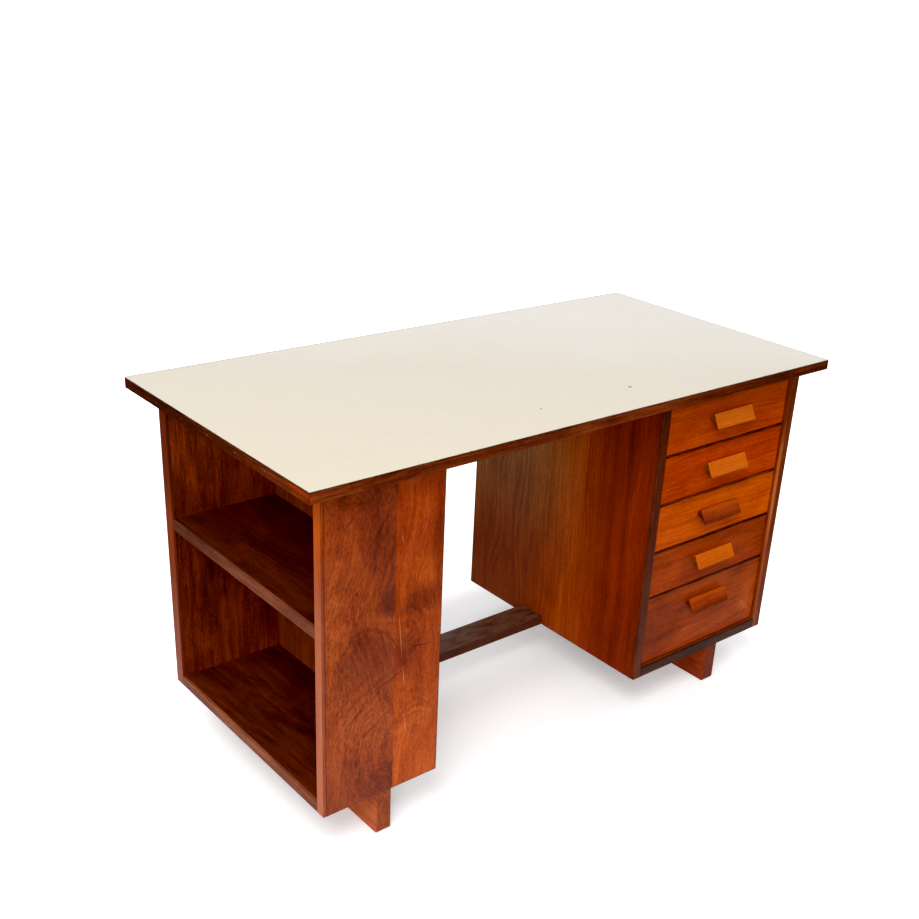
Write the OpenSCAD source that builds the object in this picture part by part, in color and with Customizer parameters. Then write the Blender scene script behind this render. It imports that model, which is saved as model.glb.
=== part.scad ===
// Writing desk with drawers: a laminate top on two pedestals. The left one is an open bookcase that
// faces the end of the desk, the right one holds five drawers, and a footrest joins them.
// The frame has +Z up and its origin on the floor, below the middle of the top. The user sits at -Y.

/* [Desk] */
// Length of the top
desk_w = 1320; // [1280:1:1400]
// Depth of the top
desk_d = 652; // [640:1:720]
// Height of the top above the floor
desk_h = 760; // [740:1:790]

/* [Top] */
// Thickness of the laminate sheet
laminate_t = 1.5; // [1:0.1:2]
// Thickness of the core board and its edging
core_t = 20.5; // [18:0.5:25]
// Width of the solid wood edging round the core
edging_w = 8; // [6:0.5:12]
// Diameter of the panel pins in the edging
pin_d = 2.2; // [1.6:0.1:2.5]
// Length of the panel pins
pin_l = 22; // [18:1:30]
// Distance between panel pins
pin_spacing = 96; // [80:1:160]

/* [Pedestals] */
// Overhang of the top at each end
end_overhang = 43; // [35:1:60]
// Overhang of the top at the user's side
front_overhang = 38; // [30:1:45]
// Overhang of the top at the back
back_overhang = 45; // [35:1:60]
// Height of the pedestals' undersides above the floor
base_h = 93; // [80:1:110]
// Thickness of the main boards
board_t = 22; // [20:1:24]
// Thickness of the solid wood lipping on board edges
lipping_t = 6; // [4:0.5:8]

/* [Bookcase] */
// Width of the bookcase pedestal
bookcase_w = 255; // [230:1:280]
// Width of the wide board in the bookcase's front panel, lipping included
wide_board_w = 152; // [120:1:170]
// Thickness of the bookcase's back panel
bookcase_back_t = 27; // [22:1:28]
// Height of the shelf's upper face above the floor
shelf_h = 479; // [420:1:520]
// Height and width of the cleat that holds the top
cleat_size = 20; // [18:1:25]

/* [Drawer pedestal] */
// Width of the drawer pedestal
pedestal_w = 433; // [400:1:450]
// Thickness of the pedestal's back panel
back_t = 12; // [9:1:15]
// Thickness of the rails under the top
rail_t = 18; // [16:0.5:18]
// Depth of the rails under the top
rail_d = 60; // [50:1:80]
// Width of a drawer runner
runner_w = 20; // [16:1:24]
// Height of a drawer runner
runner_h = 14; // [12:1:15]
// Thickness of the strips that stop the drawers at the back
stop_t = 12; // [10:1:14]

/* [Drawers] */
// Height taken by the deep drawer over that taken by a shallow one
deep_ratio = 1.544; // [1.2:0.001:1.8]
// Gap round each drawer front
front_gap = 3; // [2:0.5:4]
// Distance of the drawer fronts behind the pedestal's front edges
front_recess = 9; // [6:0.5:12]
// Thickness of the drawer fronts
front_t = 18; // [16:1:20]
// Length of the drawer boxes behind their fronts
box_l = 480; // [420:5:480]
// Thickness of the drawers' sides and backs
side_t = 12; // [10:1:14]
// Thickness of the drawers' plywood bottoms
bottom_t = 5; // [4:0.5:6]
// Depth of the grooves that hold the bottoms
groove_d = 5; // [4:0.5:6]
// Height of the grooves above the lower edges of the sides
groove_h = 8; // [6:1:12]
// Running clearance on each side of a drawer box
side_clear = 1.2; // [0.8:0.1:2]
// Running clearance under a drawer box
lift_clear = 0.5; // [0.3:0.1:1]

/* [Pulls] */
// Width of a pull
pull_w = 120; // [100:1:140]
// Height of a pull
pull_h = 30; // [28:1:34]
// Distance that a pull's lip stands out from the drawer front
pull_out = 26; // [24:1:28]
// Distance that a pull's upper edge stands out from the drawer front
pull_top_out = 10; // [8:0.5:12]
// Distance from a drawer front's upper edge to its pull
pull_drop = 34; // [26:1:38]
// Radius of the finger hollow under a pull
pull_hollow_r = 19.5; // [18:0.1:20]

/* [Base] */
// Thickness of the feet
foot_t = 31; // [28:1:36]
// Radius of the feet's lower corners
foot_r = 7; // [3:1:12]
// Distance from the bookcase's outer face to its foot
left_foot_x = 118; // [100:1:124]
// Distance from the drawer pedestal's outer face to its foot
right_foot_x = 154; // [150:1:200]
// Depth of the footrest
footrest_d = 69; // [60:1:100]
// Distance from the pedestals' front faces to the footrest
footrest_y = 303; // [200:1:400]

/* [Hidden] */
// Shared ends and faces of the two pedestals
top_under = desk_h - laminate_t - core_t;
left_x = -desk_w / 2 + end_overhang;
right_x = desk_w / 2 - end_overhang;
front_y = -desk_d / 2 + front_overhang;
back_y = desk_d / 2 - back_overhang;
body_d = back_y - front_y;
body_h = top_under - base_h;
floor_z = base_h + board_t;

// Bookcase
bookcase_x1 = left_x + bookcase_w;
shelf_d = body_d - board_t - bookcase_back_t;
shelf_w = bookcase_w - board_t - lipping_t;

// Drawer pedestal
pedestal_x0 = right_x - pedestal_w;
bay_x0 = pedestal_x0 + board_t;
bay_x1 = right_x - board_t;
bay_w = bay_x1 - bay_x0;

// Drawers, numbered from the top. The deep one is the lowest. Cuts run past a face by overcut.
DRAWERS = [1, 2, 3, 4, 5];
DEEP = 5;
shallow_pitch = (top_under - rail_t - floor_z) / (DEEP - 1 + deep_ratio);
deep_pitch = deep_ratio * shallow_pitch;
front_face_y = front_y + front_recess;
box_y0 = front_face_y + front_t;
box_x0 = bay_x0 + side_clear;
box_w = bay_w - 2 * side_clear;
box_rise = runner_h + lift_clear + front_gap / 2;
box_head = 6;
stop_gap = 0.5;
stop_h = 42;
overcut = 1;

// Pulls: how far the back of the upper edge drops, the thickness of the lip, and the hollow's centre
pull_fall = 6;
pull_lip = 4;
pull_hollow = [3.2, -5.2];

// Fasteners
PINS_LONG = floor((desk_w - pin_spacing) / pin_spacing);
PINS_SHORT = floor((desk_d - pin_spacing) / pin_spacing);
pin_proud = 0.25;
screw_d = 4;
screw_head_d = 8;
screw_head_h = 3;
screw_bite = 14;
screw_inset = 60;
dowel_d = 8;
dowel_l = 34;
FOOT_DOWELS = [0.1, 0.35, 0.65, 0.9];
REST_DOWELS = [0.25, 0.75];

// The six nodes of drawer i
function drawer_nodes(i) = [
    for (piece = ["front", "left_side", "right_side", "back", "bottom", "pull"])
        str("drawer_", i, "_", piece)
];

// Height that drawer i takes, the floor of its space, and the size of its box
function pitch(i) = i == DEEP ? deep_pitch : shallow_pitch;
function zone_z(i) = floor_z + (i == DEEP ? 0 : deep_pitch + (DEEP - 1 - i) * shallow_pitch);
function box_z(i) = zone_z(i) + box_rise;
function box_h(i) = pitch(i) - box_rise - box_head;

// A board given by its lowest corner and its size
module board(corner, size) {
    translate(corner) cube(size);
}

// ---- Top ----

module top_core() {
    color("peru")
        board([-desk_w / 2 + edging_w, -desk_d / 2 + edging_w, top_under],
              [desk_w - 2 * edging_w, desk_d - 2 * edging_w, core_t]);
}

module top_laminate() {
    color("linen")
        board([-desk_w / 2, -desk_d / 2, top_under + core_t], [desk_w, desk_d, laminate_t]);
}

// Edging strip of length l along X with mitred ends and its outer face on y = 0
module edging(l) {
    translate([0, 0, top_under])
        linear_extrude(core_t)
            polygon([[-l / 2, 0], [l / 2, 0], [l / 2 - edging_w, edging_w],
                     [-l / 2 + edging_w, edging_w]]);
}

module top_edging_front() {
    color("saddlebrown") translate([0, -desk_d / 2, 0]) edging(desk_w);
}

module top_edging_back() {
    color("saddlebrown") translate([0, desk_d / 2, 0]) rotate(180) edging(desk_w);
}

module top_edging_left() {
    color("saddlebrown") translate([-desk_w / 2, 0, 0]) rotate(-90) edging(desk_d);
}

module top_edging_right() {
    color("saddlebrown") translate([desk_w / 2, 0, 0]) rotate(90) edging(desk_d);
}

// Row of n panel pins along X, driven towards +Y from the plane y = 0
module pin_row(n, z) {
    for (k = [0 : n - 1])
        translate([(k - (n - 1) / 2) * pin_spacing, -pin_proud, z])
            rotate([-90, 0, 0]) cylinder(d = pin_d, h = pin_l, $fn = 24);
}

module edging_pins() {
    pin_z = top_under + core_t / 2;
    color("silver") {
        for (turn = [0, 180])
            rotate(turn) translate([0, -desk_d / 2, 0]) pin_row(PINS_LONG, pin_z);
        for (turn = [-90, 90])
            rotate(turn) translate([0, -desk_w / 2, 0]) pin_row(PINS_SHORT, pin_z);
    }
}

// ---- Bookcase pedestal ----

module bookcase_front_wide_board() {
    color("sienna")
        board([left_x + lipping_t, front_y, base_h],
              [wide_board_w - lipping_t, board_t, body_h]);
}

module bookcase_front_narrow_board() {
    color("chocolate")
        board([left_x + wide_board_w, front_y, base_h],
              [bookcase_w - wide_board_w, board_t, body_h]);
}

module bookcase_back_panel() {
    color("sienna")
        board([left_x + lipping_t, back_y - bookcase_back_t, base_h],
              [bookcase_w - lipping_t, bookcase_back_t, body_h]);
}

module bookcase_inner_panel() {
    color("sienna")
        board([bookcase_x1 - board_t, front_y + board_t, base_h], [board_t, shelf_d, body_h]);
}

// Shelf board whose upper face is at height z
module shelf_board(z) {
    board([left_x + lipping_t, front_y + board_t, z - board_t], [shelf_w, shelf_d, board_t]);
}

module bookcase_bottom() {
    color("sienna") shelf_board(floor_z);
}

module bookcase_shelf() {
    color("sienna") shelf_board(shelf_h);
}

module bookcase_upright_lippings() {
    color("saddlebrown") {
        board([left_x, front_y, base_h], [lipping_t, board_t, body_h]);
        board([left_x, back_y - bookcase_back_t, base_h], [lipping_t, bookcase_back_t, body_h]);
    }
}

module bookcase_shelf_lippings() {
    color("rosybrown")
        for (z = [floor_z, shelf_h])
            board([left_x, front_y + board_t, z - board_t], [lipping_t, shelf_d, board_t]);
}

module bookcase_top_cleat() {
    color("peru")
        board([bookcase_x1 - board_t - cleat_size, front_y + board_t, top_under - cleat_size],
              [cleat_size, shelf_d, cleat_size]);
}

// ---- Drawer pedestal ----

// Side board behind its lipping, with its lower left corner at x
module pedestal_side(x) {
    board([x, front_y + lipping_t, base_h], [board_t, body_d - lipping_t, body_h]);
}

module pedestal_left_side() {
    color("sienna") pedestal_side(pedestal_x0);
}

module pedestal_right_side() {
    color("sienna") pedestal_side(bay_x1);
}

module pedestal_back() {
    color("sienna") board([bay_x0, back_y - back_t, base_h], [bay_w, back_t, body_h]);
}

module pedestal_bottom() {
    color("sienna")
        board([bay_x0, front_y + lipping_t, base_h], [bay_w, body_d - lipping_t - back_t, board_t]);
}

module pedestal_side_lippings() {
    color("saddlebrown")
        for (x = [pedestal_x0, bay_x1])
            board([x, front_y, base_h], [board_t, lipping_t, body_h]);
}

module pedestal_bottom_lipping() {
    color("saddlebrown") board([bay_x0, front_y, base_h], [bay_w, lipping_t, board_t]);
}

module pedestal_top_rails() {
    color("peru")
        for (y = [front_face_y, back_y - back_t - rail_d])
            board([bay_x0, y, top_under - rail_t], [bay_w, rail_d, rail_t]);
}

module drawer_runners() {
    runner_l = body_d - front_recess - front_t - back_t;
    color("burlywood")
        for (i = DRAWERS, x = [bay_x0, bay_x1 - runner_w])
            board([x, box_y0, box_z(i) - lift_clear - runner_h], [runner_w, runner_l, runner_h]);
}

module drawer_stops() {
    stop_y = box_y0 + box_l + stop_gap;
    color("burlywood")
        for (i = DRAWERS, x = [bay_x0, bay_x1 - runner_w])
            board([x, stop_y, box_z(i) - lift_clear], [runner_w, stop_t, stop_h]);
}

// ---- Drawers ----

// A groove for the drawer bottom, cut through everything between its ends in Y
module bottom_groove(i, x, w, y0, y1) {
    board([x, y0, box_z(i) + groove_h], [w, y1 - y0, bottom_t]);
}

module drawer_front(i) {
    color("chocolate")
        difference() {
            board([bay_x0 + front_gap / 2, front_face_y, zone_z(i) + front_gap / 2],
                  [bay_w - front_gap, front_t, pitch(i) - front_gap]);
            bottom_groove(i, box_x0 + side_t - groove_d, box_w - 2 * (side_t - groove_d),
                          box_y0 - groove_d, box_y0 + overcut);
        }
}

// Side board whose outer face is at x, with its groove towards the inside given by dir
module drawer_side(i, x, dir) {
    inner_x = dir > 0 ? x + side_t - groove_d : x - side_t - overcut;
    color("burlywood")
        difference() {
            board([dir > 0 ? x : x - side_t, box_y0, box_z(i)], [side_t, box_l, box_h(i)]);
            bottom_groove(i, inner_x, groove_d + overcut, box_y0 - overcut, box_y0 + box_l + overcut);
        }
}

module drawer_back(i) {
    rise = groove_h + bottom_t;
    color("burlywood")
        board([box_x0 + side_t, box_y0 + box_l - side_t, box_z(i) + rise],
              [box_w - 2 * side_t, side_t, box_h(i) - rise]);
}

module drawer_bottom(i) {
    color("tan")
        board([box_x0 + side_t - groove_d, box_y0 - groove_d, box_z(i) + groove_h],
              [box_w - 2 * (side_t - groove_d), box_l + groove_d, bottom_t]);
}

// A wedge with a sloping face, a sunk upper edge and a round finger hollow behind its lip.
// In its profile, x is the distance out of the drawer front and y the height above the lip.
module drawer_pull(i) {
    pull_z = zone_z(i) + pitch(i) - front_gap / 2 - pull_drop - pull_h;
    color("darkorange")
        translate([(bay_x0 + bay_x1 - pull_w) / 2, front_face_y, pull_z])
            rotate([90, 0, 90]) mirror([1, 0, 0])
                linear_extrude(pull_w)
                    difference() {
                        polygon([[0, 0], [pull_out - pull_lip, 0], [pull_out, 0],
                                 [pull_top_out, pull_h], [0, pull_h - pull_fall]]);
                        translate(pull_hollow) circle(r = pull_hollow_r, $fn = 96);
                    }
}

// ---- Base and fasteners ----

// A plank on edge along Y, with its left face at x and round lower corners
module foot(x) {
    color("sienna")
        translate([x, front_y, 0])
            rotate([90, 0, 90])
                linear_extrude(foot_t) {
                    translate([0, foot_r]) square([body_d, base_h - foot_r]);
                    translate([foot_r, 0]) square([body_d - 2 * foot_r, 2 * foot_r]);
                    for (y = [foot_r, body_d - foot_r])
                        translate([y, foot_r]) circle(r = foot_r, $fn = 48);
                }
}

module left_foot() {
    foot(left_x + left_foot_x);
}

module right_foot() {
    foot(right_x - right_foot_x - foot_t);
}

module footrest() {
    color("sienna")
        board([bookcase_x1, front_y + footrest_y, base_h],
              [pedestal_x0 - bookcase_x1, footrest_d, board_t]);
}

// Screw whose head's underside is flush with a rail's lower face, h thick, driven upwards
module screw(x, y, h) {
    translate([x, y, top_under - h - screw_head_h]) {
        cylinder(d = screw_head_d, h = screw_head_h, $fn = 32);
        cylinder(d = screw_d, h = screw_head_h + h + screw_bite, $fn = 32);
    }
}

module top_screws() {
    cleat_x = bookcase_x1 - board_t - cleat_size / 2;
    color("dimgray") {
        for (x = [bay_x0 + screw_inset, bay_x1 - screw_inset], y = [front_face_y, back_y - back_t - rail_d])
            screw(x, y + rail_d / 2, rail_t);
        for (y = [front_y + body_d / 4, back_y - body_d / 4])
            screw(cleat_x, y, cleat_size);
    }
}

module joint_dowels() {
    color("burlywood") {
        for (x = [bookcase_x1, pedestal_x0], part = REST_DOWELS)
            translate([x - dowel_l / 2, front_y + footrest_y + part * footrest_d,
                       base_h + board_t / 2])
                rotate([0, 90, 0]) cylinder(d = dowel_d, h = dowel_l, $fn = 32);
        for (x = [left_x + left_foot_x, right_x - right_foot_x - foot_t], part = FOOT_DOWELS)
            translate([x + foot_t / 2, front_y + part * body_d, base_h - dowel_l / 2])
                cylinder(d = dowel_d, h = dowel_l, $fn = 32);
    }
}

// ---- What is drawn ----

top_core();
top_laminate();
top_edging_front();
top_edging_back();
top_edging_left();
top_edging_right();
edging_pins();
bookcase_front_wide_board();
bookcase_front_narrow_board();
bookcase_back_panel();
bookcase_inner_panel();
bookcase_bottom();
bookcase_shelf();
bookcase_upright_lippings();
bookcase_shelf_lippings();
bookcase_top_cleat();
pedestal_left_side();
pedestal_right_side();
pedestal_back();
pedestal_bottom();
pedestal_side_lippings();
pedestal_bottom_lipping();
pedestal_top_rails();
drawer_runners();
drawer_stops();
left_foot();
right_foot();
footrest();
top_screws();
joint_dowels();
for (i = DRAWERS) {
    drawer_front(i);
    drawer_side(i, box_x0, 1);
    drawer_side(i, box_x0 + box_w, -1);
    drawer_back(i);
    drawer_bottom(i);
    drawer_pull(i);
}
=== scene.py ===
"""The looks of the writing desk: lacquered wood, cream laminate, bare drawer boxes, a pale studio."""

import math
import random

import bmesh
import bpy
from mathutils import Matrix, Vector


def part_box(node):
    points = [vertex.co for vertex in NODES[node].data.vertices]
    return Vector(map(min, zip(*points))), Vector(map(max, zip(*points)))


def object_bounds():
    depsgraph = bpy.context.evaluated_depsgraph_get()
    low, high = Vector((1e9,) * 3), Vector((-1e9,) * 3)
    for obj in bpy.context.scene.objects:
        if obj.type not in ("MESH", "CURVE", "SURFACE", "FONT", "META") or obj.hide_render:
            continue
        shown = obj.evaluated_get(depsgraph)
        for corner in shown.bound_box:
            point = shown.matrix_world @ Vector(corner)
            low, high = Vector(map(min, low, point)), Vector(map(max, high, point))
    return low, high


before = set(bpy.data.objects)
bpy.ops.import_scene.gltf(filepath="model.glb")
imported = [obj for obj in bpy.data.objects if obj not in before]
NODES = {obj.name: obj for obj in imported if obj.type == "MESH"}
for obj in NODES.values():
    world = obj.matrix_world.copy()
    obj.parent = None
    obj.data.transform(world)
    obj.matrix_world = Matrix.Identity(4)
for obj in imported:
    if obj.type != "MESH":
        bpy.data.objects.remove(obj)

cad_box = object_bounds()
MM = 0.001


# ---- Node graphs ----

def tone(red, green, blue):
    """A display colour, 0 to 255, as a linear RGBA value."""
    def linear(level):
        level = level / 255
        return level / 12.92 if level <= 0.04045 else ((level + 0.055) / 1.055) ** 2.4
    return (linear(red), linear(green), linear(blue), 1.0)


class Graph:
    """The nodes of one material. Most methods add nodes and return an output socket."""

    def __init__(self, name):
        self.material = bpy.data.materials.new(name)
        self.material.use_nodes = True
        self.tree = self.material.node_tree
        self.tree.nodes.clear()

    def put(self, socket, value):
        if isinstance(value, bpy.types.NodeSocket):
            self.tree.links.new(value, socket)
        else:
            socket.default_value = value

    def add(self, kind, inputs, **settings):
        node = self.tree.nodes.new("ShaderNode" + kind)
        for key, value in settings.items():
            setattr(node, key, value)
        for key, value in inputs.items():
            self.put(node.inputs[key], value)
        return node

    def place(self):
        return self.add("TexCoord", {}).outputs["Object"]

    def split(self, vector):
        return self.add("SeparateXYZ", {"Vector": vector}).outputs

    def join(self, x, y, z):
        return self.add("CombineXYZ", {"X": x, "Y": y, "Z": z}).outputs[0]

    def facing(self, axis):
        """How far the surface faces along an axis, from -1 to 1."""
        return self.split(self.add("TexCoord", {}).outputs["Normal"])[axis]

    def math(self, operation, first, second=0.0, clamp=False):
        node = self.add("Math", {0: first, 1: second}, operation=operation, use_clamp=clamp)
        return node.outputs[0]

    def swing(self, value, reach):
        """Turns 0 to 1 into a push of up to half the reach either way."""
        return self.math("MULTIPLY", self.math("SUBTRACT", value, 0.5), reach)

    def vector(self, operation, first, second=(0, 0, 0), output="Vector"):
        return self.add("VectorMath", {0: first, 1: second}, operation=operation).outputs[output]

    def distance(self, vector, point):
        return self.vector("DISTANCE", vector, point, "Value")

    def scaled(self, vector, scale, shift=(0, 0, 0)):
        node = self.add("Mapping", {"Vector": vector, "Scale": scale, "Location": shift})
        return node.outputs[0]

    def turned(self, vector, axis, angle):
        node = self.add("VectorRotate", {"Vector": vector, "Angle": angle},
                        rotation_type=axis + "_AXIS")
        return node.outputs[0]

    def noise(self, vector, scale, detail=2.0, roughness=0.5, distortion=0.0):
        node = self.add("TexNoise", {"Vector": vector, "Scale": scale, "Detail": detail,
                                     "Roughness": roughness, "Distortion": distortion})
        return node.outputs["Fac"]

    def bands(self, value, detail=3.0):
        """Uneven light and dark bands along a single value."""
        node = self.add("TexNoise", {"W": value, "Scale": 1.0, "Detail": detail},
                        noise_dimensions="1D")
        return node.outputs["Fac"]

    def step(self, value, low, high, start=0.0, end=1.0):
        """A smooth rise from start to end while value goes from low to high."""
        node = self.add("MapRange", {"Value": value, "From Min": low, "From Max": high,
                                     "To Min": start, "To Max": end},
                        interpolation_type="SMOOTHSTEP")
        return node.outputs["Result"]

    def ramp(self, value, stops):
        node = self.add("ValToRGB", {"Fac": value})
        points = node.color_ramp.elements
        while len(points) < len(stops):
            points.new(1.0)
        for point, (position, colour) in zip(points, stops):
            point.position = position
            point.color = colour
        return node.outputs["Color"]

    def mix(self, factor, first, second, blend="MIX"):
        node = self.add("Mix", {0: factor, 6: first, 7: second}, data_type="RGBA",
                        blend_type=blend)
        return node.outputs[2]

    def bump(self, height, strength, distance):
        node = self.add("Bump", {"Height": height, "Strength": strength, "Distance": distance})
        return node.outputs["Normal"]

    def surface(self, **inputs):
        """Ends the graph in a Principled shader; an underscore in a name stands for a space."""
        named = {key.replace("_", " "): value for key, value in inputs.items()}
        shader = self.add("BsdfPrincipled", named)
        self.add("OutputMaterial", {"Surface": shader.outputs[0]})
        return self.material


# ---- Colour changes on part of a surface, at places in millimetres of the desk's frame ----

DARKER = (0.48, 0.42, 0.8, 1.0)
REDDER = (0.92, 0.74, 0.6, 1.0)
LIGHTER = (1.28, 1.48, 1.5, 1.0)
FOOT_SHEEN_MAUVE = (0.60, 0.58, 1.1, 1.0)
HALF = (0.5, 0.45, 0.45, 1.0)
SHADE_DEEP_RED = (0.52, 0.28, 0.4, 1.0)
DIRT_AND_SHADE_BLACK = (0.16, 0.13, 0.13, 1.0)
EDGE_STAIN = (0.12, 0.09, 0.1, 1.0)
REAR_WOOD = (0.32, 0.24, 0.2, 1.0)
REAR_WOOD_LOW = (1.75, 1.55, 0.8, 1.0)
CORNER_HIGHLIGHT = (1.8, 1.3, 0.5, 1.0)
FAR_ARRIS = (0.56, 0.50, 0.52, 1.0)
DENT = tone(52, 18, 8)
SCRATCH = tone(232, 160, 104)
LOWER_SHEEN_CHALKY = tone(202, 118, 84)
TOP_LIGHT_ORANGE = tone(226, 100, 8)
SHEEN_KHAKI = tone(146, 105, 69)
LIT_ORANGE_RED = tone(192, 76, 8)
UPPER_INSIDE_TONE = tone(142, 55, 20)
INNER_HIGHLIGHT_STRIP = tone(196, 96, 44)
INNER_HIGHLIGHT_MIDDLE = tone(208, 114, 62)
SCUFFED = tone(114, 76, 56)
PULL_TOP_HIGHLIGHT = tone(178, 78, 4)
STREAK = tone(206, 112, 42)
GLOW = tone(190, 84, 16)
INK = tone(58, 46, 44)
BROWNED_PIN = tone(84, 40, 22)


def tint(graph, colour, mask, strength, shade):
    return graph.mix(graph.math("MULTIPLY", mask, strength), colour, shade, "MULTIPLY")


def cover(graph, colour, mask, strength, shade):
    return graph.mix(graph.math("MULTIPLY", mask, strength), colour, shade)


def recolour(graph, colour, mask, strength, base, shade):
    """Turns a timber's base colour into the shade, and keeps its grain."""
    ratio = tuple(wanted / present for wanted, present in zip(shade, base))
    return tint(graph, colour, mask, strength, ratio)


def both(graph, first, second):
    return graph.math("MULTIPLY", first, second)


def in_mm(point):
    return tuple(value / MM for value in point)


def in_metres(point):
    return tuple(value * MM for value in point)


def rise(graph, axis, start, end):
    """0 at the start and 1 at the end along an axis."""
    return graph.step(graph.split(graph.place())[axis], start * MM, end * MM)


def patch(graph, middle, reach, turn=0.0, ragged=0.5, soft=0.8):
    """An oval patch on a face. It fades to 0 at its reach from the middle, over its softness;
    where the reach is 0 it goes through the board. The turn is about Y, in degrees."""
    place = graph.vector("SUBTRACT", graph.place(), in_metres(middle))
    turned = graph.turned(place, "Y", math.radians(turn))
    spread = graph.scaled(turned, tuple(1 / r if r else 0.0 for r in in_metres(reach)))
    away = graph.vector("LENGTH", spread, output="Value")
    wander = graph.swing(graph.noise(graph.place(), 16.0, 4.0, 0.6), ragged * 2)
    return graph.step(graph.math("ADD", away, wander), 1.0, 1.0 - soft)


def oval(graph, x, z, half_width, half_height, turn=0.0, ragged=0.5, soft=0.8):
    """A patch on a board that faces the user."""
    return patch(graph, (x, 0, z), (half_width, 0, half_height), turn, ragged, soft)


def outline(graph, x, z, half_width, half_height, ragged):
    """A thin line round an oval."""
    outer = oval(graph, x, z, 1.05 * half_width, 1.05 * half_height, ragged=ragged, soft=0.08)
    inner = oval(graph, x, z, 0.97 * half_width, 0.97 * half_height, ragged=ragged, soft=0.08)
    return graph.math("SUBTRACT", outer, inner, clamp=True)


def arcs(graph, x, z, spacing, wander=30):
    """Uneven arcs round a point of a front board, 1 on them and 0 between them."""
    place = graph.vector("SUBTRACT", graph.place(), in_metres((x, 0, z)))
    away = graph.vector("LENGTH", graph.scaled(place, (1, 0, 0.75)), output="Value")
    push = graph.swing(graph.noise(graph.place(), 13.0, 4.0, 0.55), wander * 2 * MM)
    away = graph.math("ADD", away, push)
    return graph.step(graph.bands(graph.math("DIVIDE", away, spacing * MM), 2.0), 0.42, 0.62)


# ---- Wood ----

GRAIN_ORDER = {"X": ("Y", "Z", "X"), "Y": ("Z", "X", "Y"), "Z": ("X", "Y", "Z")}
FLAME_SPACING = 26 * MM
BASE_LEVEL = 0.545
CONTRAST = 1.7
RUBBED_DEPTH = 0.3 * MM
LACQUER_ROUGHNESS = 0.25
LACQUER_IOR = 1.45


class Timber:
    """A kind of wood and its finish. The three shades and the worn shade are display colours. The
    ring, swirl, reach and line width are lengths. The stretch makes the fibres longer, and the rest
    are shares of 1."""

    def __init__(self, dark, mid, light, ring=5 * MM, figure=0.26, flame=0.22, blotch=0.26,
                 fibre=0.2, mottle=0.32, stretch=1.0, swirl=0.0, pores=0.45, rough=0.4,
                 shine=0.2, coat=0.05, wear=0.4, worn_and_highlit=None, reach=3.2 * MM, line=0.45,
                 line_width=1.5 * MM, ends=0.6):
        self.dark = tone(*dark)
        self.mid = tone(*mid)
        self.light = tone(*light)
        self.ring = ring
        self.figure = figure
        self.flame = flame
        self.blotch = blotch
        self.fibre = fibre
        self.mottle = mottle
        self.stretch = stretch
        self.swirl = swirl
        self.pores = pores
        self.rough = rough
        self.shine = shine
        self.coat = coat
        self.wear = wear
        self.worn_and_highlit = tone(*worn_and_highlit) if worn_and_highlit else self.light
        self.reach = reach
        self.line = line
        self.line_width = line_width
        self.ends = ends


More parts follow.
